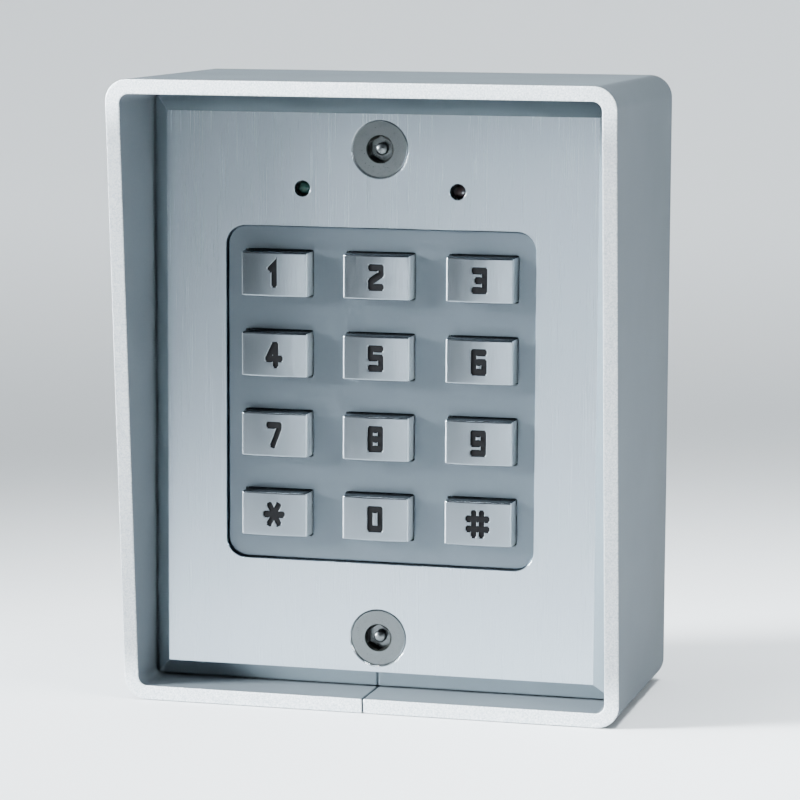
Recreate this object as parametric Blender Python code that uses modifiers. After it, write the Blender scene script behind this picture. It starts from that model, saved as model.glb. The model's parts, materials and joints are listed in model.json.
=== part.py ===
"""Surface-mounted door-entry keypad: a hooded aluminium housing around a twelve-key metal face.

Metres, +Z up.  The origin is the middle of the rear face, which lies flat on the wall at y = 0.
The front looks along -Y, and +X is the user's right.  "Out" is a distance from the wall, so a
surface that stands `out` from the wall lies at y = -out.
"""
import math

import bmesh
import bpy
from mathutils import Matrix

# ---------------------------------------------------------------- driving dimensions
GAP = 0.0003                 # clearance between neighbouring pieces
PAST = 0.001                 # how far a cutter runs past the surface it cuts

WIDTH = 0.100                # housing band, outside
HEIGHT = 0.1233
WALL = 0.0029                # thickness of the bent strip
BEND_OUTER = 0.0045          # outside radius of the bent corners
BEND_INNER = 0.0018
DEPTH_TOP = 0.0571           # the hood stands further out at the top edge
DEPTH_BOTTOM = 0.0471
SEAM_X = -0.0010             # where the two ends of the strip meet
SEAM_WIDTH = 0.0003

BACK_THICK = 0.0025
SLOT_W = 0.0050              # wall screw slots in the back plate
SLOT_H = 0.0090
SLOT_X = 0.034
SLOT_Z = 0.050
CABLE_HOLE_R = 0.0060
CABLE_Z = -0.036
GROMMET_BORE_R = 0.0042
GROMMET_LIP = 0.0016         # how far its lip reaches past the hole
GROMMET_LIP_THICK = 0.0012

FACE_OUT = 0.0395            # outer surface of the face plate
FACE_THICK = 0.0050
FACE_CHAMFER = 0.0034
FACE_CLEAR = 0.0004          # slit between face plate and band

CUTOUT_W = 0.0624            # opening in the face plate for the keypad
CUTOUT_H = 0.0662
CUTOUT_R = 0.0040
KEYPAD_Z = -0.00024          # the keypad sits a little below the middle
KEYPAD_SINK = 0.0012         # keypad surface below the face plate
KEY_PITCH_X = 0.0206
KEY_PITCH_Z = 0.0158
KEY_W = 0.0134
KEY_H = 0.0088
KEY_PROUD = 0.0028           # key faces above the face plate
KEY_TRAVEL = 0.0012
KEY_NAMES = (("key_1", "key_2", "key_3"),
             ("key_4", "key_5", "key_6"),
             ("key_7", "key_8", "key_9"),
             ("key_star", "key_0", "key_hash"))

SCREW_Z = 0.0481             # face screws above and below the keypad
SCREW_HEAD_R = 0.00545
SCREW_SHANK_R = 0.0024
LED_X = 0.0156
LED_Z = 0.0402
LED_HOLE_R = 0.0016
LED_HOLE_EDGE = 0.0003       # chamfer at the mouth of a lamp hole
LED_FLANGE_R = 0.0019
LED_FLANGE_THICK = 0.0010
LED_SPACER_R = 0.0022

THREAD_R = 0.0010            # the small screws inside
SMALL_HEAD_R = 0.0023        # their countersunk heads in the back plate
PAN_HEAD_R = 0.0021          # their flat heads behind the keypad
PAN_HEAD_THICK = 0.0015

PCB_THICK = 0.0016
PCB_CORNER = 0.002
ROUND_STEPS = 24             # sides of the larger round pieces
SMALL_STEPS = 12             # sides of the small ones

# ---------------------------------------------------------------- places worked out from them
INNER_W = WIDTH - 2 * WALL
INNER_H = HEIGHT - 2 * WALL
FACE_REAR = FACE_OUT - FACE_THICK
FACE_W = INNER_W - 2 * FACE_CLEAR
FACE_H = INNER_H - 2 * FACE_CLEAR
HOOD_SLOPE = (DEPTH_TOP - DEPTH_BOTTOM) / HEIGHT
HOOD_MID = (DEPTH_TOP + DEPTH_BOTTOM) / 2

GASKET_THICK = 0.0008
GASKET_WIDTH = 0.0050
GASKET_REAR = FACE_REAR - GAP - GASKET_THICK
RAIL_THICK = 0.0040
RAIL_LENGTH = 0.104
RAIL_X = INNER_W / 2 - GAP - RAIL_THICK / 2
RAIL_REAR = BACK_THICK + GAP
RAIL_FRONT = GASKET_REAR - GAP
RAIL_SCREW_Z = 0.040
SCREW_HEAD_OUT = FACE_OUT - 0.0002
SCREW_TIP_OUT = FACE_REAR - 0.0143
SOCKET_R = 0.0026            # the hexagon socket, to its points
SOCKET_DEPTH = 0.0026
SOCKET_PIN_R = 0.0012
SOCKET_PIN_SINK = 0.0006     # top of the pin below the head

FRAME_FRONT = FACE_OUT - KEYPAD_SINK
FRAME_FLANGE_FRONT = FACE_REAR - GAP
FRAME_FLANGE_THICK = 0.0030
FRAME_REAR = FRAME_FLANGE_FRONT - FRAME_FLANGE_THICK
FRAME_FLANGE = 0.0042        # how far the flange reaches behind the face plate
FRAME_EDGE = 0.0009          # polished round edge of the keypad frame
FRAME_SKIN = 0.0020          # metal left in front of the key flanges
FLANGE_CORNER = 0.003
KEY_FLANGE = 0.0008          # the lip that keeps a key in its aperture
KEY_FLANGE_THICK = 0.0020
KEY_EDGE = 0.0004            # rounding round a key's face
KEY_FRONT = FACE_OUT + KEY_PROUD
KEY_FLANGE_FRONT = FRAME_FRONT - FRAME_SKIN - GAP
KEY_REAR = KEY_FLANGE_FRONT - KEY_FLANGE_THICK
MAT_FRONT = FRAME_REAR - GAP
MAT_THICK = 0.0012
MAT_DOME_R = 0.0034
KEYPAD_PCB_FRONT = MAT_FRONT - MAT_THICK - GAP
KEYPAD_PCB_REAR = KEYPAD_PCB_FRONT - PCB_THICK
KEYPAD_PCB_TOP = 0.0432      # the board reaches up behind the two lamps
FLANGE_W = CUTOUT_W + 2 * FRAME_FLANGE
FLANGE_H = CUTOUT_H + 2 * FRAME_FLANGE
PIN_X = CUTOUT_W / 2 + FRAME_FLANGE / 2
PIN_Z = CUTOUT_H / 2 + FRAME_FLANGE / 2
PIN_TIP = FACE_REAR + 0.0025 # the keypad screws end inside the face plate

PILLAR_R = 0.0041
PILLAR_FRONT = FACE_REAR - GAP
PILLAR_BORE_FLOOR = PILLAR_FRONT - 0.0160
PILLAR_FOOT_BORE = 0.0100    # out position where the bore for the rear screw ends
REAR_SCREW_TIP = 0.0090
STANDOFF_R = 0.0028
STANDOFF_FRONT = 0.0104
STANDOFF_BORE_FLOOR = 0.0045
BOARD_THREAD_R = 0.0012
BOARD_HEAD_R = 0.0024
BOARD_HEAD_THICK = 0.0016
BOARD_SCREW_TIP = 0.0055
BOARD_REAR = STANDOFF_FRONT + GAP
BOARD_FRONT = BOARD_REAR + PCB_THICK
BOARD_SEAT = BOARD_FRONT + GAP
BOARD_W = 0.076
BOARD_BOTTOM = -0.027
BOARD_TOP = 0.039
BOARD_PIN_X = 0.034
BOARD_PINS_Z = (-0.023, 0.035)

# Parts on the control board: width, height and how far they stand out, then the x, z of the middle.
RELAY = ((0.0155, 0.0190, 0.0120), (-0.022, 0.016))
CHIP = ((0.0110, 0.0110, 0.0016), (0.001, 0.010))
PLUG = ((0.0140, 0.0050, 0.0045), (0.003, 0.029))
CAPACITOR_R = 0.0045
CAPACITOR_HEIGHT = 0.0110
CAPACITOR_AT = (0.0240, 0.0270)
BUZZER_R = 0.0065
BUZZER_HEIGHT = 0.0080
BUZZER_AT = (0.0220, 0.0080)
RIBBON_W = 0.0120
RIBBON_THICK = 0.0010
TERMINAL_WAYS = 6
TERMINAL_PITCH = 0.0050
TERMINAL_H = 0.0085
TERMINAL_OUT = 0.0100
TERMINAL_Z = -0.021
WELL_SIZE = 0.0034           # screw well in the front of each terminal
WELL_DEPTH = 0.0020
MOUTH_W = 0.0030             # wire mouth in the underside of each terminal
MOUTH_H = 0.0040

# colour, metallic, roughness
FINISHES = {
    "band": ((0.62, 0.68, 0.71), 0.9, 0.45),
    "face": ((0.70, 0.74, 0.78), 1.0, 0.32),
    "sheet": ((0.60, 0.62, 0.63), 1.0, 0.45),
    "frame": ((0.24, 0.28, 0.30), 0.9, 0.16),
    "key": ((0.52, 0.56, 0.59), 1.0, 0.25),
    "steel": ((0.48, 0.49, 0.48), 1.0, 0.30),
    "rubber": ((0.03, 0.03, 0.03), 0.0, 0.75),
    "silicone": ((0.55, 0.55, 0.53), 0.0, 0.60),
    "board": ((0.02, 0.18, 0.08), 0.0, 0.45),
    "black": ((0.02, 0.02, 0.02), 0.0, 0.45),
    "blue": ((0.02, 0.10, 0.35), 0.0, 0.45),
    "green": ((0.02, 0.30, 0.12), 0.0, 0.50),
    "lamp_green": ((0.01, 0.10, 0.03), 0.0, 0.12),
    "lamp_red": ((0.12, 0.01, 0.01), 0.0, 0.12),
    "can": ((0.10, 0.10, 0.14), 0.2, 0.35),
    "ribbon": ((0.45, 0.45, 0.46), 0.0, 0.55),
}


# ---------------------------------------------------------------- helpers
def collection(name):
    """A collection of this name, linked to the scene."""
    group = bpy.data.collections.new(name)
    bpy.context.scene.collection.children.link(group)
    return group


def paint(obj, finish):
    """Give an object a material of its own."""
    colour, metallic, roughness = FINISHES[finish]
    mat = bpy.data.materials.new(obj.name + "_finish")
    mat.use_nodes = True
    shader = mat.node_tree.nodes["Principled BSDF"]
    shader.inputs["Base Color"].default_value = (*colour, 1.0)
    shader.inputs["Metallic"].default_value = metallic
    shader.inputs["Roughness"].default_value = roughness
    obj.data.materials.append(mat)


def add_object(name, bm, finish):
    """Turn a bmesh into an object: a part with a finish, or a cutter without one."""
    mesh = bpy.data.meshes.new(name)
    bm.to_mesh(mesh)
    bm.free()
    obj = bpy.data.objects.new(name, mesh)
    if finish:
        PARTS.objects.link(obj)
        paint(obj, finish)
    else:
        CUTTERS.objects.link(obj)
        obj.hide_render = True
        obj.display_type = "WIRE"
    return obj


def bevel_edges(bm, chosen, width, segments):
    """Round or chamfer the edges that `chosen` picks."""
    edges = [edge for edge in bm.edges if chosen(edge)]
    bmesh.ops.bevel(bm, geom=edges, offset=width, segments=segments, profile=0.5, affect="EDGES")


def runs_along_depth(edge):
    """True for an edge parallel to Y."""
    return abs(edge.verts[0].co.y - edge.verts[1].co.y) > 1e-6


def slab_mesh(width, height, rear, front, centre=(0, 0), corner=0, steps=4, edge=0, edge_steps=1):
    """A rectangular slab from `rear` to `front`, its corners and its front edge rounded at will."""
    bm = bmesh.new()
    middle = Matrix.Translation((centre[0], -(rear + front) / 2, centre[1]))
    bmesh.ops.create_cube(bm, size=1, matrix=middle @ Matrix.Diagonal((width, front - rear, height, 1)))
    if corner:
        bevel_edges(bm, runs_along_depth, corner, steps)
    if edge:
        on_front = [v for v in bm.verts if abs(v.co.y + front) < 1e-6]
        bevel_edges(bm, lambda e: all(v in on_front for v in e.verts), edge, edge_steps)
    return bm


def slab(name, *size, finish=None, **shape):
    """An object made of one slab."""
    return add_object(name, slab_mesh(*size, **shape), finish)


def facing_out(x, z):
    """Matrix that turns local +Z to the front and puts the axis at x, z."""
    return Matrix.Translation((x, 0, z)) @ Matrix.Rotation(math.radians(90), 4, "X")


def rod(name, radius, rear, front, x, z, finish=None, steps=ROUND_STEPS):
    """A cylinder, or a prism for few steps, whose axis runs front to back."""
    bm = bmesh.new()
    place = facing_out(x, z) @ Matrix.Translation((0, 0, (rear + front) / 2))
    bmesh.ops.create_cone(bm, cap_ends=True, segments=steps, radius1=radius, radius2=radius,
                          depth=front - rear, matrix=place)
    obj = add_object(name, bm, finish)
    obj.data.shade_smooth()
    obj.data.set_sharp_from_angle(angle=math.radians(35))
    return obj


def turned(name, profile, x, z, finish=None, closed=False, steps=ROUND_STEPS):
    """A turned piece: (radius, out) points down its outer side, spun about its own axis."""
    bm = bmesh.new()
    points = [bm.verts.new((radius, 0, out)) for radius, out in profile]
    ends = points[1:] + points[:1] if closed else points[1:]
    for start, end in zip(points, ends):
        bm.edges.new((start, end))
    obj = add_object(name, bm, finish)
    obj.matrix_world = facing_out(x, z)
    spin = obj.modifiers.new("turn", "SCREW")
    spin.steps = steps
    spin.render_steps = steps
    spin.use_merge_vertices = True
    spin.merge_threshold = 0.00001
    spin.use_smooth_shade = True
    return obj


def boolean(obj, other, operation="DIFFERENCE"):
    """Cut an object by a cutter, or join one to it."""
    cut = obj.modifiers.new(other.name, "BOOLEAN")
    cut.operation = operation
    cut.solver = "EXACT"
    cut.object = other


def many(name, meshes):
    """One cutter from several separate shapes."""
    whole = bmesh.new()
    for bm in meshes:
        piece = bpy.data.meshes.new("piece")
        bm.to_mesh(piece)
        bm.free()
        whole.from_mesh(piece)
        bpy.data.meshes.remove(piece)
    return add_object(name, whole, None)


def key_places():
    """Each key's name and the x, z of its middle, row by row from the top."""
    rows = len(KEY_NAMES)
    for row, names in enumerate(KEY_NAMES):
        for column, name in enumerate(names):
            yield name, (column - 1) * KEY_PITCH_X, KEYPAD_Z + ((rows - 1) / 2 - row) * KEY_PITCH_Z


def corners(x, z, middle=0):
    """The four mirrored places of a point, about a middle height."""
    return [(side * x, middle + level * z) for level in (1, -1) for side in (-1, 1)]


# ---------------------------------------------------------------- housing
def make_band():
    """The bent strip: a rounded ring, cut on the slant at the front and split by its seam."""
    ring_out = DEPTH_TOP + 2 * WALL
    band = slab("housing_band", WIDTH, HEIGHT, 0, ring_out, finish="band", corner=BEND_OUTER, steps=6)
    hollow = slab("band_hollow", INNER_W, INNER_H, -PAST, ring_out + PAST,
                  corner=BEND_INNER, steps=4)
    slant = slab("hood_slant", 1.2 * WIDTH, 1.4 * HEIGHT, 0, DEPTH_TOP / 2)
    slant.matrix_world = (Matrix.Translation((0, -HOOD_MID, 0))
                          @ Matrix.Rotation(math.atan(HOOD_SLOPE), 4, "X"))
    seam = slab("band_seam", SEAM_WIDTH, 3 * WALL, -PAST, ring_out + PAST,
                centre=(SEAM_X, -HEIGHT / 2))
    for cutter in (hollow, slant, seam):
        boolean(band, cutter)


def through_hole(name, radius, rear, front, x, z):
    """The cutter for a small round hole from `rear` to `front`."""
    return rod(name, radius, rear - PAST, front + PAST, x, z, steps=SMALL_STEPS)


def countersunk(name, head_r, shank_r, head_out, tip_out, x, z, finish=None, direction=1):
    """A countersunk screw, or with no finish the hole for one; direction -1 drives it from behind."""
    cone = (head_r - shank_r) * direction
    profile = [(0, head_out), (head_r, head_out), (shank_r, head_out - cone),
               (shank_r, tip_out), (0, tip_out)]
    if direction < 0:
        profile.reverse()
    return turned(name, profile, x, z, finish)


def rear_screw(name, x, z):
    """A countersunk screw driven from the wall side; returns the cutter for its seat."""
    sink = 0.0002
    countersunk(name, SMALL_HEAD_R, THREAD_R, sink, REAR_SCREW_TIP, x, z, "steel", direction=-1)
    return countersunk(name + "_seat", SMALL_HEAD_R + GAP, THREAD_R + GAP, sink - GAP,
                       BACK_THICK + PAST, x, z, direction=-1)


def make_back_plate():
    """The sheet that lies on the wall, with its slots, cable hole and screw seats."""
    back = slab("back_plate", INNER_W - 2 * GAP, INNER_H - 2 * GAP, 0, BACK_THICK, finish="sheet",
                corner=BEND_INNER, steps=3)
    slots = [slab_mesh(SLOT_W, SLOT_H, -PAST, BACK_THICK + PAST, centre=place,
                       corner=0.48 * SLOT_W, steps=4) for place in corners(SLOT_X, SLOT_Z)]
    boolean(back, many("wall_slots", slots))
    boolean(back, rod("cable_hole", CABLE_HOLE_R, -PAST, BACK_THICK + PAST, 0, CABLE_Z))
    for number, (x, z) in enumerate(corners(RAIL_X, RAIL_SCREW_Z), start=1):
        boolean(back, rear_screw(f"rail_screw_{number}", x, z))
    for end, z in (("top", SCREW_Z), ("bottom", -SCREW_Z)):
        boolean(back, rear_screw(f"pillar_screw_{end}", 0, z))


def make_rails():
    """Two bars bonded inside the band, which carry the back plate and seat the face plate."""
    for side, name in ((-1, "rail_left"), (1, "rail_right")):
        rail = slab(name, RAIL_THICK, RAIL_LENGTH, RAIL_REAR, RAIL_FRONT, centre=(side * RAIL_X, 0),
                    finish="sheet")
        for z in (RAIL_SCREW_Z, -RAIL_SCREW_Z):
            boolean(rail, rod(f"{name}_thread", THREAD_R + GAP, 0, PILLAR_FOOT_BORE, side * RAIL_X, z,
                              steps=SMALL_STEPS))


def make_pillars():
    """Round posts on the back plate that the two face screws thread into."""
    bore = SCREW_SHANK_R + GAP
    foot_bore = THREAD_R + GAP
    for name, z in (("pillar_top", SCREW_Z), ("pillar_bottom", -SCREW_Z)):
        turned(name, [(0, PILLAR_BORE_FLOOR), (bore, PILLAR_BORE_FLOOR), (bore, PILLAR_FRONT),
                      (PILLAR_R, PILLAR_FRONT), (PILLAR_R, RAIL_REAR), (foot_bore, RAIL_REAR),
                      (foot_bore, PILLAR_FOOT_BORE), (0, PILLAR_FOOT_BORE)], 0, z, "sheet")


def make_grommet():
    """The rubber ring in the cable hole."""
    body = CABLE_HOLE_R - GAP
    lip = CABLE_HOLE_R + GROMMET_LIP
    seat = BACK_THICK + GAP
    front = seat + GROMMET_LIP_THICK
    turned("cable_grommet", [(GROMMET_BORE_R, front), (lip, front), (lip, seat), (body, seat),
                             (body, GAP), (GROMMET_BORE_R, GAP)], 0, CABLE_Z, "rubber", closed=True)


# ---------------------------------------------------------------- face plate
def make_face_plate():
    """The thick brushed plate with its wide chamfer, keypad opening, lamp holes and screw seats."""
    plate = slab("face_plate", FACE_W, FACE_H, FACE_REAR, FACE_OUT, finish="face",
                 edge=FACE_CHAMFER)
    above = FACE_OUT + PAST
    below = FACE_REAR - PAST
    boolean(plate, slab("plate_outline", FACE_W + GAP, FACE_H + GAP, below, above,
                        corner=BEND_INNER, steps=3), "INTERSECT")
    boolean(plate, slab("keypad_cutout", CUTOUT_W, CUTOUT_H, below, above, centre=(0, KEYPAD_Z),
                        corner=CUTOUT_R, steps=6))
    for side in (-1, 1):
        mouth = LED_HOLE_R + LED_HOLE_EDGE
        boolean(plate, turned("lamp_hole", [
            (0, above), (mouth + PAST, above), (mouth, FACE_OUT),
            (LED_HOLE_R, FACE_OUT - LED_HOLE_EDGE), (LED_HOLE_R, below), (0, below)],
            side * LED_X, LED_Z))
    seat_r = SCREW_HEAD_R + GAP
    shank_r = SCREW_SHANK_R + 2 * GAP
    for z in (SCREW_Z, -SCREW_Z):
        boolean(plate, turned("screw_seat", [
            (0, above), (seat_r, above), (seat_r, SCREW_HEAD_OUT),
            (shank_r, SCREW_HEAD_OUT - (seat_r - shank_r)), (shank_r, below), (0, below)], 0, z))
    for x, z in corners(PIN_X, PIN_Z, KEYPAD_Z):
        boolean(plate, rod("pin_hole", THREAD_R + GAP, below, PIN_TIP + GAP, x, z,
                           steps=SMALL_STEPS))


def make_face_screws():
    """Countersunk security screws: a hexagon socket with a pin standing in its middle."""
    floor = SCREW_HEAD_OUT - SOCKET_DEPTH
    for name, z in (("face_screw_top", SCREW_Z), ("face_screw_bottom", -SCREW_Z)):
        screw = countersunk(name, SCREW_HEAD_R, SCREW_SHANK_R, SCREW_HEAD_OUT, SCREW_TIP_OUT, 0, z,
                            "steel")
        boolean(screw, rod(name + "_socket", SOCKET_R, floor, SCREW_HEAD_OUT + PAST, 0, z, steps=6))
        boolean(screw, rod(name + "_pin", SOCKET_PIN_R, floor - GAP, SCREW_HEAD_OUT - SOCKET_PIN_SINK,
                           0, z, steps=16), "UNION")


def make_gasket():
    """The flat rubber ring behind the rim of the face plate."""
    front = GASKET_REAR + GASKET_THICK
    gasket = slab("face_gasket", FACE_W - 2 * GAP, FACE_H - 2 * GAP, GASKET_REAR, front,
                  finish="rubber", corner=BEND_INNER, steps=2)
    boolean(gasket, slab("gasket_hole", FACE_W - 2 * GASKET_WIDTH, FACE_H - 2 * GASKET_WIDTH,
                         GASKET_REAR - PAST, front + PAST, corner=BEND_INNER, steps=2))


# ---------------------------------------------------------------- keypad
def make_keypad_frame():
    """The bright metal block that guides the keys, with a flange behind the face plate."""
    inside = FRAME_REAR + FRAME_FLANGE_THICK / 2
    frame = slab("keypad_frame", CUTOUT_W - 2 * GAP, CUTOUT_H - 2 * GAP, inside, FRAME_FRONT,
                 centre=(0, KEYPAD_Z), finish="frame", corner=CUTOUT_R - GAP, steps=6,
                 edge=FRAME_EDGE, edge_steps=2)
    boolean(frame, slab("frame_flange", FLANGE_W, FLANGE_H, FRAME_REAR, FRAME_FLANGE_FRONT,
                        centre=(0, KEYPAD_Z), corner=FLANGE_CORNER, steps=3), "UNION")
    apertures = []
    pockets = []
    for _, x, z in key_places():
        apertures.append(slab_mesh(KEY_W + 2 * GAP, KEY_H + 2 * GAP, FRAME_REAR - PAST,
                                   FRAME_FRONT + PAST, centre=(x, z)))
        pockets.append(slab_mesh(KEY_W + 2 * (KEY_FLANGE + GAP), KEY_H + 2 * (KEY_FLANGE + GAP),
                                 FRAME_REAR - PAST, FRAME_FRONT - FRAME_SKIN, centre=(x, z)))
    boolean(frame, many("key_apertures", apertures))
    boolean(frame, many("key_pockets", pockets))
    for x, z in corners(PIN_X, PIN_Z, KEYPAD_Z):
        boolean(frame, through_hole("flange_hole", THREAD_R + GAP, FRAME_REAR, FRAME_FLANGE_FRONT,
                                    x, z))


def make_key(name, x, z):
    """One key: a block with softened front edges and a lip that keeps it behind the frame."""
    bm = slab_mesh(KEY_W + 2 * KEY_FLANGE, KEY_H + 2 * KEY_FLANGE, KEY_REAR, KEY_FLANGE_FRONT)
    front = min(bm.faces, key=lambda face: face.calc_center_median().y)
    bmesh.ops.inset_region(bm, faces=[front], thickness=KEY_FLANGE)
    raised = bmesh.ops.extrude_discrete_faces(bm, faces=[front])["faces"][0]
    bmesh.ops.translate(bm, verts=raised.verts, vec=(0, KEY_FLANGE_FRONT - KEY_FRONT, 0))
    rim = set(raised.edges)
    bevel_edges(bm, lambda edge: edge in rim, KEY_EDGE, 2)
    key = add_object(name, bm, "key")
    key.location = (x, 0, z)


def make_key_mat():
    """The silicone mat: a sheet with a round dome under each key."""
    mat = slab("key_mat", FLANGE_W, FLANGE_H, MAT_FRONT - MAT_THICK, MAT_FRONT, finish="silicone",
               centre=(0, KEYPAD_Z), corner=FLANGE_CORNER, steps=3)
    root = MAT_FRONT - MAT_THICK / 3
    top = KEY_REAR - GAP
    domes = bmesh.new()
    for _, x, z in key_places():
        place = facing_out(x, z) @ Matrix.Translation((0, 0, (root + top) / 2))
        bmesh.ops.create_cone(domes, cap_ends=True, segments=SMALL_STEPS, radius1=MAT_DOME_R,
                              radius2=0.7 * MAT_DOME_R, depth=top - root, matrix=place)
    boolean(mat, add_object("mat_domes", domes, None), "UNION")
    for x, z in corners(PIN_X, PIN_Z, KEYPAD_Z):
        boolean(mat, through_hole("mat_hole", THREAD_R + GAP, MAT_FRONT - MAT_THICK, MAT_FRONT, x, z))


def make_keypad_board():
    """The contact board behind the mat, and the screws that clamp the stack to the face plate."""
    bottom = KEYPAD_Z - FLANGE_H / 2
    board = slab("keypad_board", FLANGE_W, KEYPAD_PCB_TOP - bottom, KEYPAD_PCB_REAR,
                 KEYPAD_PCB_FRONT, centre=(0, (KEYPAD_PCB_TOP + bottom) / 2), finish="board",
                 corner=PCB_CORNER, steps=2)
    head = KEYPAD_PCB_REAR - GAP
    head_rear = head - PAN_HEAD_THICK
    for number, (x, z) in enumerate(corners(PIN_X, PIN_Z, KEYPAD_Z), start=1):
        boolean(board, through_hole("board_hole", THREAD_R + GAP, KEYPAD_PCB_REAR, KEYPAD_PCB_FRONT,
                                    x, z))
        turned(f"keypad_screw_{number}", [
            (0, PIN_TIP), (THREAD_R, PIN_TIP), (THREAD_R, head), (PAN_HEAD_R, head),
            (PAN_HEAD_R, head_rear), (0, head_rear)], x, z, "steel", steps=SMALL_STEPS)


def make_lamps():
    """Two 3 mm lamps on spacers, each looking through its hole in the face plate."""
    lens_r = LED_HOLE_R - 0.00025
    lens_front = FACE_OUT - 0.0007
    flange = FACE_REAR - GAP
    foot = flange - LED_FLANGE_THICK
    bend = [(lens_r * math.sin(turn), lens_front - lens_r * (1 - math.cos(turn)))
            for turn in (math.radians(step * 22.5) for step in range(1, 5))]
    for side, name, finish in ((-1, "lamp_left", "lamp_green"), (1, "lamp_right", "lamp_red")):
        x = side * LED_X
        turned(name, [(0, lens_front)] + bend + [(lens_r, flange), (LED_FLANGE_R, flange),
                                                 (LED_FLANGE_R, foot), (0, foot)],
               x, LED_Z, finish, steps=16)
        rod(name + "_spacer", LED_SPACER_R, KEYPAD_PCB_FRONT + GAP, foot - GAP, x, LED_Z,
            "black", steps=16)


# ---------------------------------------------------------------- electronics
def make_main_board():
    """The control board on four standoffs, each with its screw."""
    board = slab("main_board", BOARD_W, BOARD_TOP - BOARD_BOTTOM, BOARD_REAR, BOARD_FRONT,
                 centre=(0, (BOARD_TOP + BOARD_BOTTOM) / 2), finish="board", corner=PCB_CORNER,
                 steps=2)
    hole = BOARD_THREAD_R + GAP
    head_front = BOARD_SEAT + BOARD_HEAD_THICK
    places = [(x, z) for z in BOARD_PINS_Z for x in (-BOARD_PIN_X, BOARD_PIN_X)]
    for number, (x, z) in enumerate(places, start=1):
        boolean(board, through_hole("pin_hole", hole, BOARD_REAR, BOARD_FRONT, x, z))
        turned(f"standoff_{number}", [
            (0, STANDOFF_BORE_FLOOR), (hole, STANDOFF_BORE_FLOOR), (hole, STANDOFF_FRONT),
            (STANDOFF_R, STANDOFF_FRONT), (STANDOFF_R, RAIL_REAR), (0, RAIL_REAR)],
            x, z, "steel", steps=SMALL_STEPS)
        turned(f"board_screw_{number}", [
            (0, head_front), (BOARD_HEAD_R, head_front), (BOARD_HEAD_R, BOARD_SEAT),
            (BOARD_THREAD_R, BOARD_SEAT), (BOARD_THREAD_R, BOARD_SCREW_TIP), (0, BOARD_SCREW_TIP)],
            x, z, "steel", steps=SMALL_STEPS)


def component(name, part, finish, edge=0):
    """A rectangular part standing on the control board."""
    (width, height, depth), at = part
    return slab(name, width, height, BOARD_SEAT, BOARD_SEAT + depth, centre=at, finish=finish,
                edge=edge)


def make_components():
    """What stands on the control board, and the link to the contact board."""
    component("relay", RELAY, "blue", edge=0.0006)
    component("microcontroller", CHIP, "black", edge=0.0003)
    component("board_connector", PLUG, "black")
    rod("capacitor", CAPACITOR_R, BOARD_SEAT, BOARD_SEAT + CAPACITOR_HEIGHT, *CAPACITOR_AT, "can")
    rod("buzzer", BUZZER_R, BOARD_SEAT, BOARD_SEAT + BUZZER_HEIGHT, *BUZZER_AT, "black")
    (width, height, depth), at = PLUG
    far_end = KEYPAD_PCB_REAR - GAP
    slab("keypad_connector", width, height, far_end - depth, far_end, centre=at, finish="black")
    slab("ribbon_cable", RIBBON_W, RIBBON_THICK, BOARD_SEAT + depth + GAP, far_end - depth - GAP,
         centre=at, finish="ribbon")


def make_terminal_block():
    """A row of screw terminals, each with a screw well in front and a wire mouth underneath."""
    front = BOARD_SEAT + TERMINAL_OUT
    part = ((TERMINAL_WAYS * TERMINAL_PITCH, TERMINAL_H, TERMINAL_OUT), (0, TERMINAL_Z))
    block = component("terminal_block", part, "green")
    wells = []
    mouths = []
    for way in range(TERMINAL_WAYS):
        x = (way - (TERMINAL_WAYS - 1) / 2) * TERMINAL_PITCH
        wells.append(slab_mesh(WELL_SIZE, WELL_SIZE, front - WELL_DEPTH, front + PAST,
                               centre=(x, TERMINAL_Z + PAST), corner=WELL_SIZE / 3, steps=2))
        mouths.append(slab_mesh(MOUTH_W, MOUTH_H, BOARD_SEAT + MOUTH_H / 2, BOARD_SEAT + 1.5 * MOUTH_H,
                                centre=(x, TERMINAL_Z - TERMINAL_H / 2)))
    boolean(block, many("screw_wells", wells))
    boolean(block, many("wire_mouths", mouths))


# ---------------------------------------------------------------- assembly
for old in list(bpy.data.objects):
    bpy.data.objects.remove(old)
PARTS = collection("door_entry_keypad")
CUTTERS = collection("cutters")

make_band()
make_back_plate()
make_rails()
make_pillars()
make_grommet()
make_face_plate()
make_face_screws()
make_gasket()
make_keypad_frame()
for key_name, key_x, key_z in key_places():
    make_key(key_name, key_x, key_z)
make_key_mat()
make_keypad_board()
make_lamps()
make_main_board()
make_components()
make_terminal_block()
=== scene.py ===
"""The door-entry keypad's finished look: fine meshes, procedural materials, camera and light."""
import json
import math

import bmesh
import bpy
from mathutils import Matrix, Vector


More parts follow.
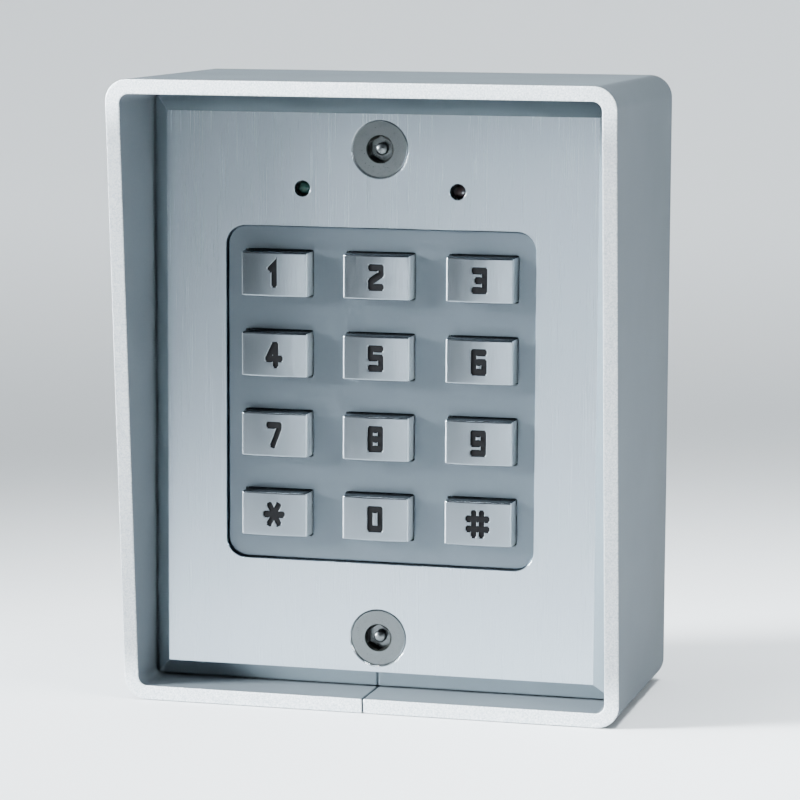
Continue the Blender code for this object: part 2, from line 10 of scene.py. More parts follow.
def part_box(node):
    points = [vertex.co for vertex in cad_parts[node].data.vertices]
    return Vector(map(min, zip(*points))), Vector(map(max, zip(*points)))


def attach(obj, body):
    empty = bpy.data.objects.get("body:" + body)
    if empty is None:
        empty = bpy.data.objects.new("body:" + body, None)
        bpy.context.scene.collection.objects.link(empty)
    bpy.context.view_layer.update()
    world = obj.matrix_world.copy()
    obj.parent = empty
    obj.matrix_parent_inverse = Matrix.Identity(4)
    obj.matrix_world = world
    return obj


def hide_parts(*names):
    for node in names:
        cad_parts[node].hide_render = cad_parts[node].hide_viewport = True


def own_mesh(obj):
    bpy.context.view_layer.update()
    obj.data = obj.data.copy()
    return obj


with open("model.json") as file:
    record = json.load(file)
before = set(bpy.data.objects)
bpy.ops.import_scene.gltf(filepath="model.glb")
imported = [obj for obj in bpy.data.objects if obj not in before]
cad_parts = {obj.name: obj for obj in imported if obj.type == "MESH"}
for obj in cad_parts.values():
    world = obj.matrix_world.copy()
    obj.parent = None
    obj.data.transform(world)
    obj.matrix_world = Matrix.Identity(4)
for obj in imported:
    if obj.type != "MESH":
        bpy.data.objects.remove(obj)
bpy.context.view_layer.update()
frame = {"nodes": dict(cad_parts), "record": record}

# ---------------------------------------------------------------- sizes, in metres
MM = 0.001
GAP = 0.3 * MM               # between pieces that touch
PAST = 1.0 * MM              # how far a cutter reaches past the surface that it opens
ROUND = 96                   # sides of a large round piece
SMALL_ROUND = 48
SHARP = 35                   # degrees between two faces from which their edge is a sharp one
TINY = 0.001 * MM


def size(node):
    """A node's width and height."""
    low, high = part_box(node)
    return high[0] - low[0], high[2] - low[2]


def centre(node):
    """The x, z of a node's middle."""
    low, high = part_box(node)
    return (low[0] + high[0]) / 2, (low[2] + high[2]) / 2


def reach(node):
    """How far from the wall a node starts, and how far it stands out."""
    low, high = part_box(node)
    return -high[1], -low[1]


def depth_at(node, level):
    """How far a node stands out from the wall at its lowest or highest level."""
    vertices = frame["nodes"][node].data.vertices
    return max(-v.co.y for v in vertices if abs(v.co.z - level) < 0.05 * MM)


BAND_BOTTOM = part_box("housing_band")[0][2]
BAND_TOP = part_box("housing_band")[1][2]
DEPTH_TOP = depth_at("housing_band", BAND_TOP)
DEPTH_BOTTOM = depth_at("housing_band", BAND_BOTTOM)

WIDTH, HEIGHT = size("housing_band")
WALL = 2.9 * MM
BEND_OUTER = 4.5 * MM
BEND_INNER = 1.8 * MM
INNER_W = WIDTH - 2 * WALL
INNER_H = HEIGHT - 2 * WALL
SEAM_X = -1.0 * MM
SEAM_WIDTH = 0.3 * MM

BACK_OUT = reach("back_plate")[1]
SLOT_X = 34 * MM
SLOT_Z = 50 * MM
SLOT_W = 5 * MM
SLOT_H = 9 * MM
SLOT_R = 2.4 * MM
RAIL_SCREW_Z = 40 * MM
CABLE_HOLE_R = 6.0 * MM
CABLE_Z = centre("cable_grommet")[1]
REAR_SCREWS = [name for name in frame["nodes"] if name.startswith(("rail_screw", "pillar_screw"))]

FACE_REAR, FACE_OUT = reach("face_plate")
FACE_W, FACE_H = size("face_plate")
FACE_CHAMFER = 3.4 * MM
CUTOUT_W = 62.4 * MM
CUTOUT_H = 66.2 * MM
CUTOUT_R = 4.0 * MM

SCREW_Z = centre("face_screw_top")[1]
SCREW_SINK = 0.2 * MM        # how far a screw's head lies below the face
SCREW_HEAD_R = 5.45 * MM
SCREW_SHANK_R = 2.4 * MM
LAMP_X, LAMP_Z = centre("lamp_right")
LAMP_HOLE_R = 1.6 * MM
LAMP_FLANGE_R = 1.9 * MM

PAD_Z = centre("keypad_frame")[1]
PAD_REAR, PAD_FRONT = reach("keypad_frame")
PAD_CORNER = 3 * MM          # of the pad's flange and of the mat behind it
PAD_GAP = 0.18 * MM          # between the block's sides and the opening in the face
PAD_EDGE = 0.25 * MM
PAD_SKIN = 2.0 * MM          # how much of the block stays in front of the keys' lips
PIN_X = 33.3 * MM
PIN_Z = 35.2 * MM
PIN_HOLE_R = 1.3 * MM
PIN_HOLE_SIDES = 32

KEYS = [name for name in frame["nodes"] if name.startswith("key_") and name != "key_mat"]
KEY_LIP = 0.8 * MM           # how far a key's lip stands out all round
KEY_LIP_DEEP = 2.0 * MM
KEY_EDGE = 0.4 * MM
CROWN = 0.48 * MM            # how far a key's face falls away at its left and right ends
CROWN_STEPS = 16
MAT_TOP_R = 2.38 * MM        # of a contact dome on the mat, at its top and at its foot
MAT_FOOT_R = 3.4 * MM
MAT_FRONT = PAD_REAR - GAP


# ---------------------------------------------------------------- mesh helpers
def facing_out(x, z):
    """Matrix that turns local +Z to the front and puts the axis at x, z."""
    return Matrix.Translation((x, 0, z)) @ Matrix.Rotation(math.radians(90), 4, "X")


def bevel_edges(bm, chosen, width, segments):
    """Round the edges that `chosen` picks."""
    edges = [edge for edge in bm.edges if chosen(edge)]
    bmesh.ops.bevel(bm, geom=edges, offset=width, segments=segments, profile=0.5, affect="EDGES")


def runs_along_depth(edge):
    """True for an edge parallel to Y."""
    return abs(edge.verts[0].co.y - edge.verts[1].co.y) > TINY


def slab(width, height, rear, front, at=(0, 0), corner=0, steps=12, edge=0, edge_steps=1):
    """A slab from `rear` to `front`, its corners and its front edge rounded at will."""
    bm = bmesh.new()
    middle = Matrix.Translation((at[0], -(rear + front) / 2, at[1]))
    scale = Matrix.Diagonal((width, front - rear, height, 1))
    bmesh.ops.create_cube(bm, size=1, matrix=middle @ scale)
    if corner:
        bevel_edges(bm, runs_along_depth, corner, steps)
    if edge:
        on_front = {v for v in bm.verts if abs(v.co.y + front) < TINY}
        bevel_edges(bm, lambda e: all(v in on_front for v in e.verts), edge, edge_steps)
    return bm


def rod(radius, rear, front, x, z, steps=ROUND):
    """A cylinder, or a prism for few steps, whose axis runs front to back."""
    bm = bmesh.new()
    middle = facing_out(x, z) @ Matrix.Translation((0, 0, (rear + front) / 2))
    bmesh.ops.create_cone(bm, cap_ends=True, segments=steps, radius1=radius, radius2=radius,
                          depth=front - rear, matrix=middle)
    return bm


def lathe(profile, x, z, closed=False, steps=ROUND):
    """A turned solid from (radius, out) points, spun about the axis at x, z."""
    bm = bmesh.new()
    points = [bm.verts.new((radius, 0, out)) for radius, out in profile]
    ends = points[1:] + points[:1] if closed else points[1:]
    for start, end in zip(points, ends):
        bm.edges.new((start, end))
    bmesh.ops.spin(bm, geom=bm.verts[:] + bm.edges[:], cent=(0, 0, 0), axis=(0, 0, 1),
                   angle=math.tau, steps=steps, use_merge=True)
    bmesh.ops.remove_doubles(bm, verts=bm.verts, dist=TINY)
    bmesh.ops.transform(bm, matrix=facing_out(x, z), verts=bm.verts)
    bmesh.ops.recalc_face_normals(bm, faces=bm.faces)
    return bm


def dome_profile(radius, top, rise, step):
    """Profile points for `lathe`: a dome from its tip down to its full radius, `rise` below."""
    turns = [math.radians(turn) for turn in range(step, 91, step)]
    return [(0, top)] + [(radius * math.sin(turn), top - rise * (1 - math.cos(turn)))
                         for turn in turns]


def place(name, bm):
    """Put a bmesh into the scene as an object."""
    mesh = bpy.data.meshes.new(name)
    bm.to_mesh(mesh)
    bm.free()
    obj = bpy.data.objects.new(name, mesh)
    bpy.context.scene.collection.objects.link(obj)
    return obj


def apply_modifiers(obj):
    """Replace the object's mesh by what its modifiers make of it."""
    depsgraph = bpy.context.evaluated_depsgraph_get()
    mesh = bpy.data.meshes.new_from_object(obj.evaluated_get(depsgraph))
    old = obj.data
    obj.modifiers.clear()
    obj.data = mesh
    bpy.data.meshes.remove(old)


def cut(obj, bm, operation="DIFFERENCE", solver="EXACT"):
    """Cut a shape out of the object, or join it on."""
    tool = place("tool", bm)
    change = obj.modifiers.new("cut", "BOOLEAN")
    change.operation = operation
    change.solver = solver
    change.object = tool
    apply_modifiers(obj)
    mesh = tool.data
    bpy.data.objects.remove(tool)
    bpy.data.meshes.remove(mesh)


def shade(obj, angle=SHARP):
    """Shade smooth between sharper edges, and keep the broad faces flat."""
    obj.data.shade_smooth()
    obj.data.set_sharp_from_angle(angle=math.radians(angle))
    change = obj.modifiers.new("shade", "WEIGHTED_NORMAL")
    change.keep_sharp = True
    apply_modifiers(obj)


def soften(obj, width, segments=2):
    """Round the object's sharp edges, and shade it."""
    change = obj.modifiers.new("soften", "BEVEL")
    change.width = width
    change.segments = segments
    change.limit_method = "ANGLE"
    change.angle_limit = math.radians(SHARP)
    change.use_clamp_overlap = True
    apply_modifiers(obj)
    shade(obj)


def corners(x, z, middle=0):
    """The four mirrored places of a point, about a middle height."""
    return [(side * x, middle + level * z) for level in (1, -1) for side in (-1, 1)]


def paint(obj, material, rule=None):
    """Give the whole object a material, or only the faces that the rule picks."""
    if not rule:
        obj.data.materials.clear()
    obj.data.materials.append(material)
    index = len(obj.data.materials) - 1
    for face in obj.data.polygons:
        if not rule or rule(face):
            face.material_index = index


def belongs(obj, node, body="housing"):
    """The piece stands for a CAD node, on that node's body."""
    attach(obj, body)
    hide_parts(node)


# ---------------------------------------------------------------- material helpers
NOISE_LOW = 0.3              # most of a noise texture's values lie between these
NOISE_HIGH = 0.7


def map_range(tree, start, end, low, high, interpolation="LINEAR"):
    """A node that takes a value between `start` and `end` to one between `low` and `high`."""
    node = tree.nodes.new("ShaderNodeMapRange")
    node.interpolation_type = interpolation
    for name, value in (("From Min", start), ("From Max", end), ("To Min", low), ("To Max", high)):
        node.inputs[name].default_value = value
    return node


class Look:
    """A Principled material and the nodes that feed it."""

    def __init__(self, name, colour, metallic, roughness, specular=0.5):
        self.material = bpy.data.materials.new(name)
        self.material.use_nodes = True
        self.tree = self.material.node_tree
        self.shader = self.tree.nodes["Principled BSDF"]
        self.shader.inputs["Base Color"].default_value = (*colour, 1)
        self.shader.inputs["Metallic"].default_value = metallic
        self.shader.inputs["Roughness"].default_value = roughness
        self.shader.inputs["Specular IOR Level"].default_value = specular

    def node(self, kind, **settings):
        """A new node with these attributes set."""
        node = self.tree.nodes.new(kind)
        for key, value in settings.items():
            setattr(node, key, value)
        return node

    def link(self, source, target):
        """Join an output to an input."""
        self.tree.links.new(source, target)

    def noise(self, per_mm, detail=3, roughness=0.5):
        """Noise with this many features a millimetre along X, Y and Z."""
        coords = self.node("ShaderNodeTexCoord")
        mapping = self.node("ShaderNodeMapping")
        mapping.inputs["Scale"].default_value = [count / MM for count in per_mm]
        texture = self.node("ShaderNodeTexNoise")
        texture.inputs["Scale"].default_value = 1
        texture.inputs["Detail"].default_value = detail
        texture.inputs["Roughness"].default_value = roughness
        self.link(coords.outputs["Object"], mapping.inputs["Vector"])
        self.link(mapping.outputs["Vector"], texture.inputs["Vector"])
        return texture.outputs["Fac"]

    def vary_colour(self, value, dark, light):
        """Base colour from `dark` to `light` as the noise goes up."""
        ramp = self.node("ShaderNodeValToRGB")
        ends = ((NOISE_LOW, dark), (NOISE_HIGH, light))
        for element, (position, colour) in zip(ramp.color_ramp.elements, ends):
            element.position = position
            element.color = (*colour, 1)
        self.link(value, ramp.inputs["Fac"])
        self.link(ramp.outputs["Color"], self.shader.inputs["Base Color"])

    def paint_shade_by_height(self, start, end, low, high):
        """Painted shade: scale the base colour by `low` within `start` of mid height, and by `high`
        past `end`.
        """
        coords = self.node("ShaderNodeTexCoord")
        axes = self.node("ShaderNodeSeparateXYZ")
        level = self.node("ShaderNodeMath", operation="ABSOLUTE")
        fade = map_range(self.tree, start, end, low, high, "SMOOTHSTEP")
        scale = self.node("ShaderNodeVectorMath", operation="SCALE")
        base = self.shader.inputs["Base Color"]
        self.link(coords.outputs["Object"], axes.inputs["Vector"])
        self.link(axes.outputs["Z"], level.inputs[0])
        self.link(level.outputs["Value"], fade.inputs["Value"])
        self.link(base.links[0].from_socket, scale.inputs[0])
        self.link(fade.outputs["Result"], scale.inputs["Scale"])
        self.link(scale.outputs["Vector"], base)

    def vary_roughness(self, value, low, high):
        """Roughness from `low` to `high` as the noise goes up."""
        spread = map_range(self.tree, NOISE_LOW, NOISE_HIGH, low, high)
        self.link(value, spread.inputs["Value"])
        self.link(spread.outputs["Result"], self.shader.inputs["Roughness"])

    def bump(self, value, height_mm):
        """Relief of this height."""
        node = self.node("ShaderNodeBump")
        node.inputs["Strength"].default_value = 1
        node.inputs["Distance"].default_value = height_mm * MM
        self.link(value, node.inputs["Height"])
        self.link(node.outputs["Normal"], self.shader.inputs["Normal"])


def tinted(colour, factor):
    """The colour made darker or lighter."""
    return tuple(min(1, part * factor) for part in colour)


def brushed(name, colour, roughness, per_mm, contrast=0.06, relief=0.004, wear=1):
    """Metal with fine straight lines: `per_mm` is low along the lines and high across them.

    `wear` sets how much the roughness changes from line to line.
    """
    look = Look(name, colour, 1, roughness)
    lines = look.noise(per_mm, detail=4, roughness=0.6)
    look.vary_colour(lines, tinted(colour, 1 - contrast), tinted(colour, 1 + contrast))
    look.vary_roughness(lines, roughness - 0.05 * wear, roughness + 0.07 * wear)
    look.bump(lines, relief)
    return look.material


def satin(name, colour, metallic, roughness, grain=4, relief=0.01, specular=0.5):
    """An even, fine-grained coat or mill finish."""
    look = Look(name, colour, metallic, roughness, specular)
    fine = look.noise((grain, grain, grain), detail=3)
    broad = look.noise((0.05, 0.05, 0.05), detail=2)
    look.vary_colour(broad, tinted(colour, 0.95), tinted(colour, 1.05))
    look.vary_roughness(fine, roughness - 0.04, roughness + 0.06)
    look.bump(fine, relief)
    return look.material


def sawn_metal():
    """The pale cut end of the strip: rough, with bright flecks, and darker down its two sides with
    painted shade.
    """
    look = Look("sawn_aluminium", (0.80, 0.84, 0.86), 0.55, 0.55)
    flecks = look.noise((3.0, 3.0, 3.0), detail=5, roughness=0.7)
    look.vary_colour(flecks, (0.36, 0.43, 0.48), (1.0, 1.0, 1.0))
    # Painted shade: the cut end's colour drops to 0.45 down its left and right sides.
    look.paint_shade_by_height(50 * MM, 60 * MM, 0.45, 1.0)
    look.vary_roughness(flecks, 0.40, 0.65)
    look.bump(flecks, 0.10)
    return look.material


MATERIALS = {
    "band": satin("band_satin", (0.108, 0.127, 0.141), 0.12, 0.62, specular=0.10),
    "sawn": sawn_metal(),
    "face": brushed("face_brushed", (0.45, 0.515, 0.575), 0.26, (5.0, 1.0, 0.06), contrast=0.025,
                    relief=0.0001, wear=0.3),
    "chamfer": brushed("face_chamfer", (0.90, 0.96, 0.99), 0.20, (2.0, 2.0, 2.0), contrast=0.01),
    "sheet": brushed("mill_sheet", (0.60, 0.62, 0.63), 0.42, (0.08, 1.0, 3.0)),
    "pad": satin("pad_bright", (0.117, 0.141, 0.162), 1.0, 0.34, grain=1, relief=0.0003),
    "key": brushed("key_satin", (0.225, 0.256, 0.284), 0.20, (6.0, 1.0, 0.2), contrast=0.03,
                   relief=0.0002),
    # A lighter copy of the key metal for the keys' left and right sides: painted light.
    "key_side_lit": satin("key_side_lit", (0.40, 0.44, 0.47), 0.7, 0.45, relief=0.001),
    "ink": satin("black_enamel", (0.003, 0.003, 0.0035), 0.0, 0.55, grain=3, specular=0.08),
    "stainless": brushed("stainless", (0.122, 0.134, 0.138), 0.30, (4.0, 4.0, 4.0), contrast=0.03),
    # Near-black metal inside the face screws' sockets: painted shade in the hole.
    "socket": satin("socket_painted_shade", (0.030, 0.032, 0.030), 1.0, 0.45, relief=0.001),
    "fastener": satin("zinc_plate", (0.40, 0.40, 0.37), 1.0, 0.35),
    "rubber": satin("black_rubber", (0.025, 0.025, 0.026), 0.0, 0.7, grain=2, relief=0.02),
    "silicone": satin("grey_silicone", (0.50, 0.50, 0.49), 0.0, 0.55),
    "board": satin("solder_mask", (0.015, 0.16, 0.06), 0.0, 0.35),
    "black": satin("black_plastic", (0.02, 0.02, 0.022), 0.0, 0.45),
    "blue": satin("blue_plastic", (0.02, 0.10, 0.35), 0.0, 0.42),
    "green": satin("green_plastic", (0.02, 0.28, 0.11), 0.0, 0.45),
    "lamp_green": satin("green_lens", (0.004, 0.022, 0.016), 0.0, 0.30, grain=1, relief=0.0,
                        specular=0.2),
    "lamp_red": satin("red_lens", (0.008, 0.004, 0.004), 0.0, 0.30, grain=1, relief=0.0,
                      specular=0.2),
    "can": satin("capacitor_sleeve", (0.08, 0.08, 0.12), 0.1, 0.35),
    "ribbon": satin("ribbon_cable", (0.42, 0.42, 0.43), 0.0, 0.5),
}


# ---------------------------------------------------------------- housing
def make_band():
    """The bent strip, with its slanted sawn rim and its seam."""
    uncut = DEPTH_TOP + 6 * MM
    past = 5 * MM
    slope = (DEPTH_TOP - DEPTH_BOTTOM) / HEIGHT
    band = place("band", slab(WIDTH, HEIGHT, 0, uncut, corner=BEND_OUTER, steps=16))
    cut(band, slab(INNER_W, INNER_H, -past, uncut + past, corner=BEND_INNER, steps=10))
    slant = slab(1.2 * WIDTH, 1.4 * HEIGHT, 0, 30 * MM)
    tilt = (Matrix.Translation((0, -(DEPTH_TOP + DEPTH_BOTTOM) / 2, 0))
            @ Matrix.Rotation(math.atan(slope), 4, "X"))
    bmesh.ops.transform(slant, matrix=tilt, verts=slant.verts)
    cut(band, slant)
    cut(band, slab(SEAM_WIDTH, 3 * WALL, -past, uncut, at=(SEAM_X, -HEIGHT / 2)))
    soften(band, 0.25 * MM, segments=3)
    paint(band, MATERIALS["band"])
    paint(band, MATERIALS["sawn"], lambda face: abs(face.normal.y) > 0.5)
    belongs(band, "housing_band")


def make_back_plate():
    """The sheet on the wall, with its slots, cable hole and screw seats."""
    back = place("back_sheet", slab(INNER_W - 2 * GAP, INNER_H - 2 * GAP, 0, BACK_OUT,
                                    corner=BEND_INNER, steps=8))
    through = (-2 * PAST, BACK_OUT + 2 * PAST)
    for slot in corners(SLOT_X, SLOT_Z):
        cut(back, slab(SLOT_W, SLOT_H, *through, at=slot, corner=SLOT_R, steps=12))
    cut(back, rod(CABLE_HOLE_R, *through, 0, CABLE_Z))
    head = 2.6 * MM
    shank = 1.3 * MM
    below = 0.1 * MM
    seat = [(0, -below), (head, -below), (shank, head - shank - below),
            (shank, BACK_OUT + PAST), (0, BACK_OUT + PAST)]
    rail_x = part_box("rail_right")[0][0] + 2 * MM
    for x, z in corners(rail_x, RAIL_SCREW_Z) + [(0, SCREW_Z), (0, -SCREW_Z)]:
        cut(back, lathe(seat, x, z))
    soften(back, 0.12 * MM)
    paint(back, MATERIALS["sheet"])
    belongs(back, "back_plate")


def make_rear_screw(node):
    """A small countersunk screw with a cross recess, driven from the wall side."""
    x, z = centre(node)
    rear, tip = reach(node)
    head = size(node)[0] / 2
    shank = 1.0 * MM
    edge = 0.1 * MM
    profile = [(0, rear), (head - edge, rear), (head, rear + edge), (shank, rear + head - shank),
               (shank, tip), (0, tip)]
    screw = place(node + "_fine", lathe(profile, x, z, steps=SMALL_ROUND))
    cross_w = 0.7 * MM
    cross_l = 2.7 * MM
    cross_deep = 0.9 * MM
    for width, height in ((cross_w, cross_l), (cross_l, cross_w)):
        cut(screw, slab(width, height, rear - PAST, rear + cross_deep, at=(x, z)))
    shade(screw)
    paint(screw, MATERIALS["fastener"])
    belongs(screw, node)


def make_grommet():
    """The rubber ring in the cable hole."""
    bore = 4.2 * MM
    body = CABLE_HOLE_R - GAP
    lip = CABLE_HOLE_R + 1.6 * MM
    rear = 0.2 * MM
    seat = BACK_OUT + GAP
    front = seat + 1.2 * MM
    profile = [(bore, front), (lip, front), (lip, seat), (body, seat), (body, rear), (bore, rear)]
    ring = place("grommet", lathe(profile, 0, CABLE_Z, closed=True))
    soften(ring, 0.25 * MM, segments=3)
    paint(ring, MATERIALS["rubber"])
    belongs(ring, "cable_grommet")


# ---------------------------------------------------------------- face
def make_face_plate():
    """The thick plate, with its chamfer, keypad opening, lamp holes and screw seats."""
    behind = FACE_REAR - PAST
    above = FACE_OUT + PAST
    plate = place("front_plate", slab(FACE_W, FACE_H, FACE_REAR, FACE_OUT, edge=FACE_CHAMFER))
    cut(plate, slab(FACE_W + GAP, FACE_H + GAP, behind, above, corner=BEND_INNER, steps=8),
        "INTERSECT")
    cut(plate, slab(CUTOUT_W, CUTOUT_H, behind, above, at=(0, PAD_Z), corner=CUTOUT_R, steps=16))
    for side in (-1, 1):
        cut(plate, rod(LAMP_HOLE_R, behind, above, side * LAMP_X, LAMP_Z, steps=SMALL_ROUND))
    head = SCREW_HEAD_R + GAP
    shank = SCREW_SHANK_R + 2 * GAP
    rim = FACE_OUT - SCREW_SINK
    seat = [(0, above), (head, above), (head, rim), (shank, rim - (head - shank)),
            (shank, behind), (0, behind)]
    for z in (SCREW_Z, -SCREW_Z):
        cut(plate, lathe(seat, 0, z))
    soften(plate, 0.3 * MM, segments=3)
    paint(plate, MATERIALS["face"])
    paint(plate, MATERIALS["chamfer"], lambda face: 0.3 < -face.normal.y < 0.95)
    belongs(plate, "face_plate")


# A face screw's hexagon socket, its round mouth, and the pin in its middle.
SOCKET_R = 2.6 * MM
SOCKET_DEEP = 2.6 * MM
MOUTH_R = 2.75 * MM
MOUTH_TAPER = 0.6 * MM
MOUTH_DEEP = 0.9 * MM
SOCKET_PIN_R = 1.2 * MM
SOCKET_PIN_SINK = 0.7 * MM
SOCKET_PIN_ROOT = 0.4 * MM


def in_socket(face, z, head):
    """True for the faces of a screw's socket, its pin left out: these get painted shade."""
    away = math.hypot(face.center.x, face.center.z - z)
    beside_pin = SOCKET_PIN_R * 1.02 < away < SOCKET_R + 0.3 * MM
    return beside_pin and head - 3 * MM < -face.center.y < head - 0.05 * MM


def make_face_screw(node, z):
    """A countersunk screw with a hexagon socket and a round-ended pin in its middle."""
    head = FACE_OUT - SCREW_SINK
    tip = reach(node)[0]
    cone = SCREW_HEAD_R - SCREW_SHANK_R
    edge = 0.12 * MM
    body = [(0, head), (SCREW_HEAD_R - edge, head), (SCREW_HEAD_R, head - edge),
            (SCREW_SHANK_R, head - cone), (SCREW_SHANK_R, tip), (0, tip)]
    screw = place(node + "_fine", lathe(body, 0, z))
    floor = head - SOCKET_DEEP
    cut(screw, rod(SOCKET_R, floor, head + PAST, 0, z, steps=6))
    step = head - MOUTH_DEEP
    mouth = [(0, head + PAST), (MOUTH_R, head + PAST), (MOUTH_R, head),
             (MOUTH_R - MOUTH_TAPER, step), (0, step)]
    cut(screw, lathe(mouth, 0, z))
    root = floor - SOCKET_PIN_ROOT
    pin = dome_profile(SOCKET_PIN_R, head - SOCKET_PIN_SINK, SOCKET_PIN_R / 2, step=15)
    pin += [(SOCKET_PIN_R, root), (0, root)]
    cut(screw, lathe(pin, 0, z, steps=SMALL_ROUND), "UNION")
    shade(screw)
    for face in screw.data.polygons:
        face.use_smooth = face.normal.y > -0.99
    paint(screw, MATERIALS["stainless"])
    # The socket's walls and floor are painted near-black: painted shade.
    paint(screw, MATERIALS["socket"], lambda face: in_socket(face, z, head))
    belongs(screw, node)


def make_lamp(node, x, slot):
    """A lamp with a domed lens, its flange behind the face."""
    rear, front = reach(node)
    radius = LAMP_HOLE_R - 0.25 * MM
    flange = FACE_REAR - GAP
    profile = dome_profile(radius, front, radius, step=10)
    profile += [(radius, flange), (LAMP_FLANGE_R, flange), (LAMP_FLANGE_R, rear), (0, rear)]
    lamp = place(node + "_fine", lathe(profile, x, LAMP_Z, steps=SMALL_ROUND))
    shade(lamp)
    paint(lamp, MATERIALS[slot])
    belongs(lamp, node)


# ---------------------------------------------------------------- keypad
def make_pad():
    """The bright block around the keys, its front edge rounded, and the flange behind it."""
    behind = PAD_REAR - PAST
    pad = place("pad", slab(CUTOUT_W - 2 * PAD_GAP, CUTOUT_H - 2 * PAD_GAP, PAD_REAR + 1 * MM,
                            PAD_FRONT, at=(0, PAD_Z), corner=CUTOUT_R - PAD_GAP, steps=16,
                            edge=PAD_EDGE, edge_steps=6))
    cut(pad, slab(*size("keypad_frame"), PAD_REAR, FACE_REAR - GAP, at=(0, PAD_Z),
                  corner=PAD_CORNER), "UNION")
    for node in KEYS:
        lip_w, lip_h = size(node)
        cut(pad, slab(lip_w - 2 * KEY_LIP + 2 * GAP, lip_h - 2 * KEY_LIP + 2 * GAP, behind,
                      PAD_FRONT + PAST, at=centre(node), corner=0.5 * MM, steps=5))
        cut(pad, slab(lip_w + 2 * GAP, lip_h + 2 * GAP, behind, PAD_FRONT - PAD_SKIN,
                      at=centre(node)))
    for x, z in corners(PIN_X, PIN_Z, PAD_Z):
        cut(pad, rod(PIN_HOLE_R, behind, FACE_REAR + PAST, x, z, steps=PIN_HOLE_SIDES))
    soften(pad, 0.12 * MM)
    paint(pad, MATERIALS["pad"])
    belongs(pad, "keypad_frame")


# Centre lines of the engraved signs: x and z run from 0 to 1 over the sign's box.
HALF_RING = [(0.5, 1), (0, 1), (0, 0), (0.5, 0)]
OTHER_HALF = [(0.5, 1), (1, 1), (1, 0), (0.5, 0)]
MIDDLE_BAR = [(0, 0.5), (1, 0.5)]
SIGNS = {
    "key_1": [[(0.16, 0.80), (0.52, 1), (0.52, 0)]],
    "key_2": [[(0, 1), (1, 1), (1, 0.66)], [(1, 0.66), (0, 0.28)], [(0, 0.28), (0, 0), (1, 0)]],
    "key_3": [[(0, 1), (1, 1), (1, 0), (0, 0)], [(0.3, 0.5), (1, 0.5)]],
    "key_4": [[(0.66, 1), (0.66, 0)], [(0.5, 0.98), (-0.02, 0.42)], [(-0.1, 0.3), (1.1, 0.3)]],
    "key_5": [[(1, 1), (0, 1), (0, 0.54), (1, 0.54), (1, 0), (0, 0)]],
    "key_6": [[(1, 1), (0, 1), (0, 0), (1, 0), (1, 0.5)], [(0, 0.5), (1, 0.5)]],
    "key_7": [[(0, 1), (1, 1), (1, 0.82), (0.42, 0)]],
    "key_8": [HALF_RING, OTHER_HALF, MIDDLE_BAR],
    "key_9": [[(0, 0), (1, 0), (1, 1), (0, 1), (0, 0.5)], [(0, 0.5), (1, 0.5)]],
    "key_0": [HALF_RING, OTHER_HALF],
    "key_star": [[(-0.3, 0.5), (1.3, 0.5)], [(0.08, 0.06), (0.92, 0.94)],
                 [(0.08, 0.94), (0.92, 0.06)]],
    "key_hash": [[(0.12, -0.05), (0.12, 1.05)], [(0.88, -0.05), (0.88, 1.05)],
                 [(-0.4, 0.76), (1.4, 0.76)], [(-0.4, 0.24), (1.4, 0.24)]],
}
SIGN_W = 2.05 * MM
SIGN_H = 3.80 * MM
STROKE = 1.12 * MM
ENGRAVED = 0.35 * MM
FLARE = 0.14 * MM            # how much wider each side of a groove is at its mouth
CLIP = 0.26 * MM             # cut off the outer corners of the strokes


def sideways(direction):
    """The direction turned a quarter turn to the left."""
    return Vector((-direction.y, direction.x))


def flank(points, half, side):
    """One side of a stroke along the points, its outer corners clipped and its ends squared."""
    steps = [(b - a).normalized() for a, b in zip(points, points[1:])]
    outline = []
    start = points[0] - steps[0] * half
    edge = sideways(steps[0]) * side
    outline += [start + edge * (half - CLIP), start + edge * half + steps[0] * CLIP]
    for before, after, corner in zip(steps, steps[1:], points[1:]):
        normals = (sideways(before) * side, sideways(after) * side)
        mitre = corner + (normals[0] + normals[1]) * half / (1 + normals[0].dot(normals[1]))
        turns_away = (before.x * after.y - before.y * after.x) * side < 0
        if turns_away:
            outline += [mitre - before * CLIP, mitre + after * CLIP]
        else:
            outline.append(mitre)
    end = points[-1] + steps[-1] * half
    edge = sideways(steps[-1]) * side
    outline += [end + edge * half - steps[-1] * CLIP, end + edge * (half - CLIP)]
    return outline


def groove(points, face_out):
    """The solid that cuts one stroke: a tapered prism, wider at the face than at its floor."""
    bm = bmesh.new()
    levels = []
    above = 0.1 * MM
    widen = FLARE * (1 + above / ENGRAVED)
    for out, half in ((face_out + above, STROKE / 2 + widen), (face_out - ENGRAVED, STROKE / 2)):
        loop = flank(points, half, 1) + flank(points, half, -1)[::-1]
        levels.append([bm.verts.new((p.x, -out, p.y)) for p in loop])
    count = len(levels[0])
    for index in range(count):
        following = (index + 1) % count
        bm.faces.new((levels[0][index], levels[0][following], levels[1][following], levels[1][index]))
    for level in levels:
        bm.faces.new(level)
    bmesh.ops.recalc_face_normals(bm, faces=bm.faces)
    return bm


def crown(bm, middle, half, front):
    """Bend a key's face into a shallow arch from left to right."""
    for step in range(1, CROWN_STEPS):
        at = middle - half + 2 * half * step / CROWN_STEPS
        geometry = bm.verts[:] + bm.edges[:] + bm.faces[:]
        bmesh.ops.bisect_plane(bm, geom=geometry, plane_co=(at, 0, 0), plane_no=(1, 0, 0))
    for vertex in bm.verts:
        if -vertex.co.y > front - 1 * MM:
            vertex.co.y += CROWN * ((vertex.co.x - middle) / half) ** 2


